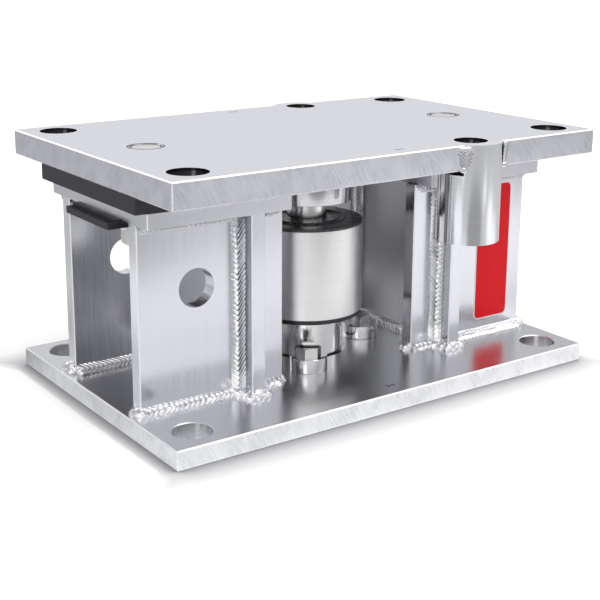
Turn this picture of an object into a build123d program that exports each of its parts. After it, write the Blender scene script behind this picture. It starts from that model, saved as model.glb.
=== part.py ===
from build123d import *
from math import cos, radians
import os

# Weigh module for a compression load cell. A canister cell stands between a base plate and a
# floating top plate. Two welded towers carry the hold-down bolts, the shims and the stops.
# X is the long way, Y across, Z up. The origin is the middle of the base plate's underside.

# Driving sizes, in millimetres

# Plates
plate_length = 400.0
plate_width = 260.0
base_thickness = 15.0
top_thickness = 20.0
plate_chamfer = 0.9
mount_from_end = 27.0
mount_from_side = 26.0
mount_hole = 30.0
hole_chamfer = 0.8

# Towers
side_plate_height = 143.0
tower_setback = 9.0
cell_to_tower = 18.5
tower_wall = 12.0
tower_outward = 5.5
web_inset = 27.0
rib_depth = 17.0
cap_thickness = 12.0
cap_step = 3.0
side_chamfer = 0.7
access_hole = 30.0
access_hole_height = 90.0
access_hole_inward = 5.5
weld_leg = 7.0

# Shims that lock the top plate for transport
upper_shim = 12.0
upper_shim_clearance = 13.0
lower_shim = 7.0
lower_shim_clearance = 19.0
lower_shim_side_clearance = 14.0
shim_lip = 5.0
shim_lip_depth = 5.5
shim_chamfer = 0.6

# Hold-down bolts
bolt_outward = 1.0
bolt_diameter = 24.0
bolt_head_flats = 36.0
bolt_head_height = 15.0
bolt_end_gap = 0.3
washer_diameter = 52.0
washer_thickness = 9.0
float_each_way = 3.0
float_clearance = 1.5

# Jacking bosses
boss_diameter = 50.0
boss_across = 75.0
boss_inset = 15.0
boss_drop = 59.0
boss_gap = 4.0
jack_bore = 27.0
boss_weld = 8.0

# Load cell
cell_diameter = 95.0
cell_wall = 3.0
cell_ring_bottom = 48.0
cell_ring_thickness = 4.0
cell_ring_inset = 1.2
lid_thickness = 2.0
lid_inset = 0.6
neck_gap = 17.0
foot_diameter = 62.0
neck_diameter = 34.0
button_diameter = 9.0
foot_button = 1.5
neck_button = 0.9
gauge_section = 28.0
gauge_length = 40.0
gauge_pad = 0.4
gauge_pad_width = 10.0
gauge_pad_height = 16.0
rocking_gap = 0.1
board_thickness = 1.6
board_length = 30.0
board_width = 20.0
board_from_middle = 30.0

# Cable gland, without its cable
gland_height = 75.0
gland_flats = 20.0
gland_hex = 10.0
gland_nut_length = 14.0
gland_nut_flats = 18.0
gland_bore = 7.0
gland_seat_depth = 1.5
gland_seat_clearance = 1.0

# Pressure cup on the underside of the top plate
cup_diameter = 77.0
cup_height = 37.0
cup_pocket_depth = 20.0
cup_pocket_clearance = 1.5

# Recess and keeper bolts round the cell's foot
recess_clearance = 3.0
recess_depth = 2.0
keeper_count = 3
keeper_clearance = 6.8
keeper_first_angle = -123.0
keeper_diameter = 12.0
keeper_depth = 12.0
keeper_flats = 18.0
keeper_head = 8.0
keeper_washer = 30.4
keeper_washer_thickness = 11.5

# Levels, upwards from the base plate's underside
base_top = base_thickness
cap_bottom = base_top + side_plate_height
cap_top = cap_bottom + cap_thickness
top_bottom = cap_top + upper_shim
top_top = top_bottom + top_thickness
lower_shim_bottom = cap_bottom - lower_shim
washer_bottom = lower_shim_bottom - washer_thickness
head_bottom = washer_bottom - bolt_head_height
boss_bottom = top_top - boss_drop - top_thickness
recess_floor = base_top - recess_depth
cell_bottom = recess_floor + rocking_gap
cup_bottom = top_bottom - cup_height
pocket_top = cup_bottom + cup_pocket_depth
neck_top = pocket_top - rocking_gap
housing_bottom = cell_ring_bottom + cell_ring_thickness
lid_top = cup_bottom - neck_gap
lid_bottom = lid_top - lid_thickness

# Places along the module. The cell sets the towers' inner ends, and the bolts and the access
# holes stand by the middle of the open pocket between web and tower end
plate_end = plate_length / 2
tower_end = plate_end - tower_setback
tower_inner = cell_diameter / 2 + cell_to_tower
tower_length = tower_end - tower_inner
web_near = tower_inner + web_inset
web_far = web_near + tower_wall
cap_inner = tower_inner + cap_step
pocket_middle = (web_far + tower_end) / 2
bolt_x = pocket_middle + bolt_outward
access_hole_x = pocket_middle - access_hole_inward
running_hole = bolt_diameter + 2 * (float_each_way + float_clearance)
upper_shim_reach = plate_end - web_far - upper_shim_clearance
lower_shim_reach = plate_end - web_far - lower_shim_clearance

# Places across it. Side plate and rib stand between the hold-down washer and the jacking boss
plate_side = plate_width / 2
boss_y = plate_side - boss_inset
free_middle = (washer_diameter / 2 + boss_y - boss_diameter / 2) / 2
side_inner = free_middle + tower_outward - (tower_wall + rib_depth) / 2
side_outer = side_inner + tower_wall
side_plate_gap = 2 * side_inner
cap_side = side_outer + rib_depth
lower_shim_width = side_plate_gap - 2 * lower_shim_side_clearance

# Bolt patterns
bolt_places = ((-bolt_x, 0), (bolt_x, 0))
boss_places = ((boss_across, -boss_y), (boss_across, boss_y))
mount_pitch_x = plate_length - 2 * mount_from_end
mount_pitch_y = plate_width - 2 * mount_from_side
keeper_radius = foot_diameter / 2 + recess_clearance + keeper_clearance + keeper_washer / 2

os.makedirs("parts", exist_ok=True)


def save(piece, label):
    """Label a finished piece and write its STEP file."""
    piece.label = label
    export_step(piece, f"parts/{label}.step")


def hexagon(flats):
    """Radius over the corners of a hexagon with this size across flats."""
    return flats / 2 / cos(radians(30))


def weld(start, end, leg_a, leg_b, leg=weld_leg):
    """Add a fillet weld that runs from start to end in the corner of two faces."""
    run = Vector(*end) - Vector(*start)
    along = run.normalized()
    first = Vector(*leg_a)
    second = Vector(*leg_b)
    if first.cross(second).dot(along) < 0:
        first, second = second, first
    with BuildSketch(Plane(origin=start, x_dir=first, z_dir=along)) as section:
        Polygon((0, 0), (leg, 0), (0, leg))
    extrude(section.sketch, amount=run.length)


# Base plate with its mounting holes, the cell's recess and the keeper bolts' holes
with BuildPart() as base_plate:
    with BuildSketch():
        Rectangle(plate_length, plate_width)
    extrude(amount=base_thickness)
    chamfer(base_plate.edges(), plate_chamfer)
    with BuildSketch(Plane.XY.offset(base_top)):
        with GridLocations(mount_pitch_x, mount_pitch_y, 2, 2):
            Circle(mount_hole / 2)
    extrude(amount=-base_thickness, mode=Mode.SUBTRACT)
    mount_rims = base_plate.edges().filter_by(GeomType.CIRCLE).group_by(Axis.Z)[-1]
    chamfer(mount_rims, hole_chamfer)
    with BuildSketch(Plane.XY.offset(base_top)):
        Circle(foot_diameter / 2 + recess_clearance)
    extrude(amount=-recess_depth, mode=Mode.SUBTRACT)
    with BuildSketch(Plane.XY.offset(base_top)):
        with PolarLocations(keeper_radius, keeper_count, start_angle=keeper_first_angle):
            Circle(keeper_diameter / 2)
    extrude(amount=-keeper_depth, mode=Mode.SUBTRACT)
save(base_plate.part, "base_plate")

# Towers: the same plates stand at both ends, mirrored
for end_name, end in (("left", -1), ("right", 1)):
    tower_middle = end * (tower_inner + tower_end) / 2
    web_middle = end * (web_near + web_far) / 2
    cap_middle = end * (cap_inner + tower_end) / 2

    for face_name, face in (("front", -1), ("back", 1)):
        outer_face = Plane.XZ.offset(-face * side_outer)
        with BuildPart() as side_plate:
            with BuildSketch(outer_face):
                with Locations((tower_middle, base_top + side_plate_height / 2)):
                    Rectangle(tower_length, side_plate_height)
            extrude(amount=face * tower_wall)
            upright = side_plate.edges().filter_by(Axis.Z)
            chamfer(upright, side_chamfer)
            # The access holes are in the left tower only
            if end_name == "left":
                with BuildSketch(outer_face):
                    with Locations((end * access_hole_x, base_top + access_hole_height)):
                        Circle(access_hole / 2)
                extrude(amount=face * tower_wall, mode=Mode.SUBTRACT)
        save(side_plate.part, f"{end_name}_{face_name}_side_plate")

        with BuildPart() as rib:
            with BuildSketch(Plane.XY.offset(base_top)):
                with Locations((web_middle, face * (side_outer + cap_side) / 2)):
                    Rectangle(tower_wall, rib_depth)
            extrude(amount=side_plate_height)
            rib_corners = rib.edges().filter_by(Axis.Z).sort_by(Axis.Y)
            outer_corners = rib_corners[:2] if face < 0 else rib_corners[-2:]
            chamfer(outer_corners, side_chamfer)
        save(rib.part, f"{end_name}_{face_name}_rib")

    with BuildPart() as web:
        with BuildSketch(Plane.XY.offset(base_top)):
            with Locations((web_middle, 0)):
                Rectangle(tower_wall, side_plate_gap)
        extrude(amount=side_plate_height)
    save(web.part, f"{end_name}_web_plate")

    with BuildPart() as cap:
        with BuildSketch(Plane.XY.offset(cap_bottom)):
            with Locations((cap_middle, 0)):
                Rectangle(tower_end - cap_inner, 2 * cap_side)
            with Locations((end * bolt_x, 0)):
                Circle(running_hole / 2, mode=Mode.SUBTRACT)
        extrude(amount=cap_thickness)
        chamfer(cap.edges().group_by(Axis.Z)[-1].filter_by(GeomType.LINE), side_chamfer)
        chamfer(cap.edges().filter_by(Axis.Z), side_chamfer)
    save(cap.part, f"{end_name}_cap_plate")

    # Fillet welds that join the tower's plates to each other and to the base
    with BuildPart() as welds:
        for face in (-1, 1):
            out = (0, face, 0)
            inward = (0, -face, 0)
            up = (0, 0, 1)
            down = (0, 0, -1)
            away = (end, 0, 0)
            towards = (-end, 0, 0)
            # Feet of the side plate, outside and inside, and round its outer end
            for near, far in ((tower_inner, web_near), (web_far, tower_end + weld_leg)):
                weld(
                    (end * near, face * side_outer, base_top),
                    (end * far, face * side_outer, base_top), out, up,
                )
            for near, far in ((tower_inner, web_near), (web_far, tower_end)):
                weld(
                    (end * near, face * side_inner, base_top),
                    (end * far, face * side_inner, base_top), inward, up,
                )
            weld(
                (end * tower_end, face * side_inner, base_top),
                (end * tower_end, face * side_outer, base_top), away, up,
            )
            # Feet of the rib on three sides
            weld(
                (end * web_near, face * side_outer, base_top),
                (end * web_near, face * (cap_side + weld_leg), base_top), towards, up,
            )
            weld(
                (end * web_far, face * side_outer, base_top),
                (end * web_far, face * (cap_side + weld_leg), base_top), away, up,
            )
            weld(
                (end * web_near, face * cap_side, base_top),
                (end * web_far, face * cap_side, base_top), out, up,
            )
            # Upright corners between the rib and the side plate, and between the web and it
            for corner, leg_x in ((web_near, towards), (web_far, away)):
                weld(
                    (end * corner, face * side_outer, base_top),
                    (end * corner, face * side_outer, cap_bottom), out, leg_x,
                )
                weld(
                    (end * corner, face * side_inner, base_top),
                    (end * corner, face * side_inner, cap_bottom), inward, leg_x,
                )
            # Under the overhang of the cap
            for near, far in ((cap_inner, web_near), (web_far, tower_end)):
                weld(
                    (end * near, face * side_outer, cap_bottom),
                    (end * far, face * side_outer, cap_bottom), out, down,
                )
        # Foot of the web, on the cell's side
        weld(
            (end * web_near, -side_inner, base_top),
            (end * web_near, side_inner, base_top), (-end, 0, 0), (0, 0, 1),
        )
    save(welds.part, f"{end_name}_tower_welds")

    # Upper shim: a fork between cap and top plate, flush with the top plate's end
    with BuildPart() as upper_fork:
        with BuildSketch(Plane.XY.offset(cap_top)):
            with Locations((end * (plate_end - upper_shim_reach / 2), 0)):
                Rectangle(upper_shim_reach, 2 * cap_side)
            with Locations((end * bolt_x, 0)):
                Circle(running_hole / 2, mode=Mode.SUBTRACT)
            slot_depth = bolt_x - (plate_end - upper_shim_reach)
            with Locations((end * (bolt_x - slot_depth / 2), 0)):
                Rectangle(slot_depth, running_hole, mode=Mode.SUBTRACT)
        extrude(amount=upper_shim)
        chamfer(upper_fork.edges().filter_by(Axis.Z).group_by(Axis.X)[0 if end < 0 else -1], shim_chamfer)
    save(upper_fork.part, f"{end_name}_upper_shim")

    # Lower shim: a narrower fork between cap and washer, with a lip to pull it by
    with BuildPart() as lower_fork:
        shim_body = lower_shim_reach - shim_lip_depth
        with BuildSketch(Plane.XY.offset(lower_shim_bottom)):
            with Locations((end * (plate_end - lower_shim_reach / 2), 0)):
                Rectangle(lower_shim_reach, lower_shim_width)
            slot_depth = bolt_x - (plate_end - lower_shim_reach)
            with Locations((end * bolt_x, 0)):
                Circle(running_hole / 2, mode=Mode.SUBTRACT)
            with Locations((end * (bolt_x - slot_depth / 2), 0)):
                Rectangle(slot_depth, running_hole, mode=Mode.SUBTRACT)
        extrude(amount=lower_shim)
        with BuildSketch(Plane.XY.offset(cap_bottom)):
            with Locations((end * (plate_end - shim_lip_depth / 2), 0)):
                Rectangle(shim_lip_depth, lower_shim_width)
        extrude(amount=shim_lip - lower_shim, mode=Mode.SUBTRACT)
        lip_ends = lower_fork.edges().filter_by(Axis.Z).group_by(Axis.X)[0 if end < 0 else -1]
        chamfer(lip_ends, shim_chamfer)
    save(lower_fork.part, f"{end_name}_lower_shim")

# Hold-down bolts, screwed into the top plate from below, and their washers
with BuildPart() as hold_down_bolts:
    with BuildSketch(Plane.XY.offset(head_bottom)):
        with Locations(*bolt_places):
            RegularPolygon(hexagon(bolt_head_flats), 6)
    extrude(amount=bolt_head_height)
    with BuildSketch(Plane.XY.offset(washer_bottom)):
        with Locations(*bolt_places):
            Circle(bolt_diameter / 2)
    extrude(amount=top_top - bolt_end_gap - washer_bottom)
save(hold_down_bolts.part, "hold_down_bolts")

with BuildPart() as hold_down_washers:
    with BuildSketch(Plane.XY.offset(washer_bottom)):
        with Locations(*bolt_places):
            Circle(washer_diameter / 2)
            Circle(bolt_diameter / 2, mode=Mode.SUBTRACT)
    extrude(amount=washer_thickness)
save(hold_down_washers.part, "hold_down_washers")

# Top plate
with BuildPart() as top_plate:
    with BuildSketch(Plane.XY.offset(top_bottom)):
        Rectangle(plate_length, plate_width)
    extrude(amount=top_thickness)
    chamfer(top_plate.edges(), plate_chamfer)
    # The edge stays square where the bosses are welded on
    boss_land = 2 * ((boss_diameter / 2) ** 2 - boss_inset**2) ** 0.5
    for level in (top_bottom, top_top - plate_chamfer):
        with BuildSketch(Plane.XY.offset(level)):
            for face in (-1, 1):
                with Locations((boss_across, face * (plate_side - plate_chamfer / 2))):
                    Rectangle(boss_land, plate_chamfer)
        extrude(amount=plate_chamfer)
    with BuildSketch(Plane.XY.offset(top_top)):
        with GridLocations(mount_pitch_x, mount_pitch_y, 2, 2):
            Circle(mount_hole / 2)
    extrude(amount=-top_thickness, mode=Mode.SUBTRACT)
    with BuildSketch(Plane.XY.offset(top_top)):
        with Locations(*boss_places):
            Circle(jack_bore / 2)
    extrude(amount=-top_thickness, mode=Mode.SUBTRACT)
    with BuildSketch(Plane.XY.offset(top_top)):
        with Locations(*bolt_places):
            Circle(bolt_diameter / 2)
    extrude(amount=-top_thickness, mode=Mode.SUBTRACT)
save(top_plate.part, "top_plate")

# Jacking bosses: full round below the plate, and only the part outside its edge beside it
with BuildPart() as jacking_bosses:
    with BuildSketch(Plane.XY.offset(boss_bottom)):
        with Locations(*boss_places):
            Circle(boss_diameter / 2)
    extrude(amount=top_bottom - boss_gap - boss_bottom)
    with BuildSketch(Plane.XY.offset(top_bottom - boss_gap)):
        with Locations(*boss_places):
            Circle(boss_diameter / 2)
        with Locations((boss_across, 0)):
            Rectangle(boss_diameter, plate_width, mode=Mode.SUBTRACT)
    extrude(amount=top_thickness + boss_gap)
    with BuildSketch(Plane.XY.offset(boss_bottom)):
        with Locations(*boss_places):
            Circle(jack_bore / 2)
    extrude(amount=top_top - boss_bottom, mode=Mode.SUBTRACT)
save(jacking_bosses.part, "jacking_bosses")

# Welds in the two corners between each boss and the plate's edge
with BuildPart() as boss_welds:
    boss_half = boss_land / 2
    for face in (-1, 1):
        for hand in (-1, 1):
            with BuildSketch(Plane.XY.offset(top_bottom)):
                corner = (boss_across + hand * boss_half, face * plate_side)
                along_plate = (corner[0] + hand * boss_weld, corner[1])
                along_boss = (corner[0] - hand * boss_weld / 2, corner[1] + face * boss_weld * 0.8)
                Polygon(corner, along_plate, along_boss)
                with Locations((boss_across, face * boss_y)):
                    Circle(boss_diameter / 2, mode=Mode.SUBTRACT)
            extrude(amount=top_thickness)
save(boss_welds.part, "boss_welds")

# Pressure cup on the underside of the top plate
with BuildPart() as pressure_cup:
    with BuildSketch(Plane.XY.offset(cup_bottom)):
        Circle(cup_diameter / 2)
    extrude(amount=cup_height)
    with BuildSketch(Plane.XY.offset(cup_bottom)):
        Circle(neck_diameter / 2 + cup_pocket_clearance)
    extrude(amount=cup_pocket_depth, mode=Mode.SUBTRACT)
save(pressure_cup.part, "upper_pressure_cup")

# Spring element of the cell: foot, gauged column and neck turned in one piece, with a loading
# button at both ends so that it can rock
foot_radius = foot_diameter / 2
neck_radius = neck_diameter / 2
button_radius = button_diameter / 2
with BuildPart() as spring_element:
    with BuildSketch(Plane.XZ):
        with BuildLine():
            Polyline(
                (0, cell_bottom),
                (button_radius, cell_bottom),
                (button_radius, cell_bottom + foot_button),
                (foot_radius, cell_bottom + foot_button),
                (foot_radius, cell_ring_bottom),
                (neck_radius, cell_ring_bottom),
                (neck_radius, neck_top - neck_button),
                (button_radius, neck_top - neck_button),
                (button_radius, neck_top),
                (0, neck_top),
                close=True,
            )
        make_face()
    revolve(axis=Axis.Z)
    # The gauged length is milled square
    gauge_middle = (housing_bottom + lid_bottom) / 2
    with BuildSketch(Plane.XY.offset(gauge_middle - gauge_length / 2)):
        Circle(neck_radius)
        Rectangle(gauge_section, gauge_section, mode=Mode.SUBTRACT)
    extrude(amount=gauge_length, mode=Mode.SUBTRACT)
save(spring_element.part, "cell_spring_element")

with BuildPart() as strain_gauges:
    for turn in range(4):
        with BuildSketch(Plane.XZ.rotated((0, 0, 90 * turn)).offset(gauge_section / 2)):
            with Locations((0, gauge_middle)):
                Rectangle(gauge_pad_width, gauge_pad_height)
        extrude(amount=gauge_pad)
save(strain_gauges.part, "cell_strain_gauges")

# Canister round the column
cell_radius = cell_diameter / 2
with BuildPart() as base_ring:
    with BuildSketch(Plane.XY.offset(cell_ring_bottom)):
        Circle(cell_radius - cell_ring_inset)
        Circle(neck_radius, mode=Mode.SUBTRACT)
    extrude(amount=cell_ring_thickness)
save(base_ring.part, "cell_base_ring")

gland_seat = cell_radius - gland_seat_depth
with BuildPart() as housing:
    with BuildSketch(Plane.XY.offset(housing_bottom)):
        Circle(cell_radius)
        Circle(cell_radius - cell_wall, mode=Mode.SUBTRACT)
    extrude(amount=lid_bottom - housing_bottom)
    # Spot face for the cable gland, on the back
    with BuildSketch(Plane.XZ.offset(-gland_seat)):
        with Locations((0, gland_height)):
            Circle(hexagon(gland_flats) + gland_seat_clearance)
    extrude(amount=-cell_radius, mode=Mode.SUBTRACT)
save(housing.part, "cell_housing")

with BuildPart() as lid:
    with BuildSketch(Plane.XY.offset(lid_bottom)):
        Circle(cell_radius - lid_inset)
        Circle(neck_radius, mode=Mode.SUBTRACT)
    extrude(amount=lid_thickness)
save(lid.part, "cell_lid")

with BuildPart() as terminal_board:
    with BuildSketch(Plane.XY.offset(housing_bottom)):
        with Locations((0, board_from_middle)):
            Rectangle(board_length, board_width)
    extrude(amount=board_thickness)
save(terminal_board.part, "cell_terminal_board")

# Cable gland: a hex body and its clamping nut
with BuildPart() as gland:
    with BuildSketch(Plane.XZ.offset(-gland_seat)):
        with Locations((0, gland_height)):
            RegularPolygon(hexagon(gland_flats), 6)
    extrude(amount=-gland_hex)
save(gland.part, "cell_cable_gland")

with BuildPart() as gland_nut:
    with BuildSketch(Plane.XZ.offset(-gland_seat - gland_hex)):
        with Locations((0, gland_height)):
            RegularPolygon(hexagon(gland_nut_flats), 6)
            Circle(gland_bore / 2, mode=Mode.SUBTRACT)
    extrude(amount=-gland_nut_length)
save(gland_nut.part, "cell_gland_nut")

# Keeper bolts and their thick washers, on a circle round the foot
with BuildPart() as keeper_washers:
    with BuildSketch(Plane.XY.offset(base_top)):
        with PolarLocations(keeper_radius, keeper_count, start_angle=keeper_first_angle):
            Circle(keeper_washer / 2)
            Circle(keeper_diameter / 2, mode=Mode.SUBTRACT)
    extrude(amount=keeper_washer_thickness)
save(keeper_washers.part, "keeper_washers")

keeper_seat = base_top + keeper_washer_thickness
with BuildPart() as keeper_bolts:
    with BuildSketch(Plane.XY.offset(keeper_seat)):
        with PolarLocations(keeper_radius, keeper_count, start_angle=keeper_first_angle):
            RegularPolygon(hexagon(keeper_flats), 6)
    extrude(amount=keeper_head)
    with BuildSketch(Plane.XY.offset(base_top - keeper_depth)):
        with PolarLocations(keeper_radius, keeper_count, start_angle=keeper_first_angle):
            Circle(keeper_diameter / 2)
    extrude(amount=keeper_depth + keeper_washer_thickness)
save(keeper_bolts.part, "keeper_bolts")
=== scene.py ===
import math

import bmesh
import bpy
from mathutils import Matrix, Vector


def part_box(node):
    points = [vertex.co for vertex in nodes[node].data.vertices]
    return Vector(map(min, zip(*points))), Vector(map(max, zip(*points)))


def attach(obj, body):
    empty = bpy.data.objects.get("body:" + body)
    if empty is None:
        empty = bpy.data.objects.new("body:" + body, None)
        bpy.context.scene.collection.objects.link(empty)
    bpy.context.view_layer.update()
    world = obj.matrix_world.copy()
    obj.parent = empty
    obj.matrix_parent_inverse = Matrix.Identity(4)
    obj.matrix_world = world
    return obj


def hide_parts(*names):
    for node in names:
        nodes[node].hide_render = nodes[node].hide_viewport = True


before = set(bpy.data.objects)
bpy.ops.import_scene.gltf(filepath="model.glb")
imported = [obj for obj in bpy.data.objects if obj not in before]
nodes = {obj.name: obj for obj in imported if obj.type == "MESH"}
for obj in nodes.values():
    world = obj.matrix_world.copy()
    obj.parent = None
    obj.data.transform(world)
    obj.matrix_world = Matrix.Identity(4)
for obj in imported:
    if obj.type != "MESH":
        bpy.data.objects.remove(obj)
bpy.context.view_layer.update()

# Levels and places that the pieces and the materials share with the frame, in metres
base_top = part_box("base_plate")[1].z
base_middle = 0.0075
top_low, top_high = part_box("top_plate")
top_middle = top_low.z + 0.01
plate_x = top_high.x
plate_y = top_high.y
mount_hole = (0.173, 0.104)
mount_radius = 0.015
jacking_bore = (0.075, 0.115)
jacking_radius = 0.0135
flush_bolt = (0.149, 0.0)
flush_radius = 0.0121


# Helpers that make the materials

def add(tree, kind, sockets=None, **settings):
    """Add a node, with its settings and with values or links on its sockets."""
    made = tree.nodes.new("ShaderNode" + kind)
    for key, value in settings.items():
        setattr(made, key, value)
    for key, value in (sockets or {}).items():
        if isinstance(value, bpy.types.NodeSocket):
            tree.links.new(value, made.inputs[key])
        else:
            made.inputs[key].default_value = value
    return made


def start_finish(name, metallic=1.0, roughness=0.3):
    """A new material, its node tree and its shader."""
    material = bpy.data.materials.new(name)
    material.use_nodes = True
    tree = material.node_tree
    shader = tree.nodes["Principled BSDF"]
    shader.inputs["Metallic"].default_value = metallic
    shader.inputs["Roughness"].default_value = roughness
    return material, tree, shader


def own_place(tree):
    """X, Y and Z of each point in the object's own coordinates."""
    return add(tree, "SeparateXYZ", {"Vector": add(tree, "TexCoord").outputs["Object"]}).outputs


def own_normal(tree):
    """X, Y and Z of the direction that the surface faces."""
    return add(tree, "SeparateXYZ", {"Vector": add(tree, "TexCoord").outputs["Normal"]}).outputs


def streaks(tree, counts, detail=3.0):
    """Noise in the object's own coordinates, stretched by a different count per metre each way."""
    place = add(tree, "TexCoord").outputs["Object"]
    stretched = add(tree, "Mapping", {"Vector": place, "Scale": counts}).outputs["Vector"]
    return add(tree, "TexNoise", {"Vector": stretched, "Scale": 1.0, "Detail": detail,
                                  "Roughness": 0.55}).outputs["Fac"]


def spread(tree, value, low, high, start=0.3, end=0.7):
    """Map start..end of a value to low..high."""
    return add(tree, "MapRange", {"Value": value, "From Min": start, "From Max": end, "To Min": low,
                                  "To Max": high}).outputs["Result"]


def blend_colours(tree, share, first, second):
    """Mix two colours by a value."""
    first_socket, second_socket, result = 6, 7, 2
    made = add(tree, "Mix", {0: share}, data_type="RGBA")
    for index, colour in ((first_socket, first), (second_socket, second)):
        if isinstance(colour, bpy.types.NodeSocket):
            tree.links.new(colour, made.inputs[index])
        else:
            made.inputs[index].default_value = (*colour, 1.0)
    return made.outputs[result]


def sums(tree, operation, first, second):
    """Arithmetic on two values."""
    return add(tree, "Math", {0: first, 1: second}, operation=operation).outputs[0]


def unsigned(tree, value):
    """A value without its sign."""
    return add(tree, "Math", {0: value}, operation="ABSOLUTE").outputs[0]


def bumps(tree, shader, height, distance, below=None):
    """Raise the surface by a height value, on top of another bump if there is one."""
    sockets = {"Height": height, "Distance": distance, "Strength": 1.0}
    if below is not None:
        sockets["Normal"] = below
    raised = add(tree, "Bump", sockets).outputs["Normal"]
    tree.links.new(raised, shader.inputs["Normal"])
    return raised


def corner_share(tree, turned=False):
    """1 on narrow 45 degree edges and 0 elsewhere. Turned parts have them only round their top and bottom."""
    normal = add(tree, "TexCoord").outputs["Normal"]
    away = add(tree, "VectorMath", {0: normal}, operation="ABSOLUTE").outputs["Vector"]
    parts = add(tree, "SeparateXYZ", {"Vector": away}).outputs
    if turned:
        steep = spread(tree, parts["Z"], 0.0, 1.0, 0.45, 0.55)
        level = spread(tree, parts["Z"], 1.0, 0.0, 0.82, 0.9)
        return sums(tree, "MULTIPLY", steep, level)
    longest = sums(tree, "MAXIMUM", sums(tree, "MAXIMUM", parts["X"], parts["Y"]), parts["Z"])
    return spread(tree, longest, 1.0, 0.0, 0.74, 0.82)


def upright_share(tree):
    """1 on walls that stand upright and 0 on level faces."""
    return spread(tree, unsigned(tree, own_normal(tree)["Z"]), 1.0, 0.0, 0.1, 0.4)


def mill_marks(tree, middle):
    """Short slanted cutter marks for the sides of a plate whose mid height is given."""
    slope, curve = 0.6, 14.0
    marks_along, marks_up, change_along, patches = 1000.0, 90.0, 9.0, 60.0
    place = own_place(tree)
    level = sums(tree, "SUBTRACT", place["Z"], middle)
    bend = sums(tree, "MULTIPLY", sums(tree, "MULTIPLY", level, level), curve)
    lean = sums(tree, "ADD", sums(tree, "MULTIPLY", level, slope), bend)
    along = sums(tree, "ADD", sums(tree, "ADD", place["X"], place["Y"]), lean)
    stretched = add(tree, "CombineXYZ", {"X": sums(tree, "MULTIPLY", along, marks_along),
                                         "Y": sums(tree, "MULTIPLY", level, marks_up),
                                         "Z": sums(tree, "MULTIPLY", place["X"], change_along)})
    marks = add(tree, "TexNoise", {"Vector": stretched.outputs["Vector"], "Scale": 1.0, "Detail": 3.0,
                                   "Roughness": 0.6}).outputs["Fac"]
    patchy = spread(tree, streaks(tree, (patches, patches, patches), detail=2.0), 0.7, 1.0, 0.4, 0.6)
    return sums(tree, "MULTIPLY", sums(tree, "MULTIPLY", marks, upright_share(tree)), patchy)


def from_axis(tree, x, y, both_ends):
    """Distance from an upright axis at (x, y). The axis repeats at -y, and at -x if both_ends is set."""
    place = own_place(tree)
    across = unsigned(tree, place["X"]) if both_ends else place["X"]
    folded = add(tree, "CombineXYZ", {"X": across, "Y": unsigned(tree, place["Y"])}).outputs["Vector"]
    return add(tree, "VectorMath", {0: folded, 1: (x, y, 0.0)}, operation="DISTANCE").outputs["Value"]


def ring_share(tree, away, inner, outer):
    """1 where a distance lies between two radii and 0 elsewhere."""
    soft = 0.0001
    past = spread(tree, away, 0.0, 1.0, inner - soft, inner + soft)
    short = spread(tree, away, 1.0, 0.0, outer - soft, outer + soft)
    return sums(tree, "MULTIPLY", past, short)


def stamp_share(tree, x, y):
    """1 on a small punched mark at (x, y): a short groove with a dot at each end."""
    dot_place = 0.0029
    own = add(tree, "TexCoord").outputs["Object"]
    place = add(tree, "VectorMath", {0: own, 1: (x, y, 0.0)}, operation="SUBTRACT").outputs["Vector"]
    parts = add(tree, "SeparateXYZ", {"Vector": place}).outputs
    across, deep = unsigned(tree, parts["X"]), unsigned(tree, parts["Y"])
    groove = sums(tree, "MULTIPLY", spread(tree, across, 1.0, 0.0, 0.0026, 0.0034),
                  spread(tree, deep, 0.7, 0.0, 0.0006, 0.0012))
    from_dot = unsigned(tree, sums(tree, "SUBTRACT", across, dot_place))
    dot = sums(tree, "MULTIPLY", spread(tree, from_dot, 1.0, 0.0, 0.0005, 0.0009),
               spread(tree, deep, 1.0, 0.0, 0.0016, 0.0024))
    return sums(tree, "MAXIMUM", groove, dot)


# Colours that the steel finishes share
# Painted shade for hole walls, bolt-end grooves and punched marks, also the tone of the mill marks; a painted
# light band for the far hole walls; a painted shade ring round flush bolt ends
painted_shade_and_mill_mark_tone = (0.07, 0.07, 0.08)
painted_wall_light = (0.30, 0.30, 0.31)
painted_ring_shade = (0.42, 0.42, 0.43)
# Painted highlight for narrow edges and hole rims, and a darker painted shade for the narrow edges that face up
painted_edge_highlight = (0.98, 0.985, 1.0)
painted_upper_edge_shade = (0.76, 0.765, 0.78)
steel_light = (0.86, 0.865, 0.905)
steel_dark = (0.80, 0.805, 0.845)


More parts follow.
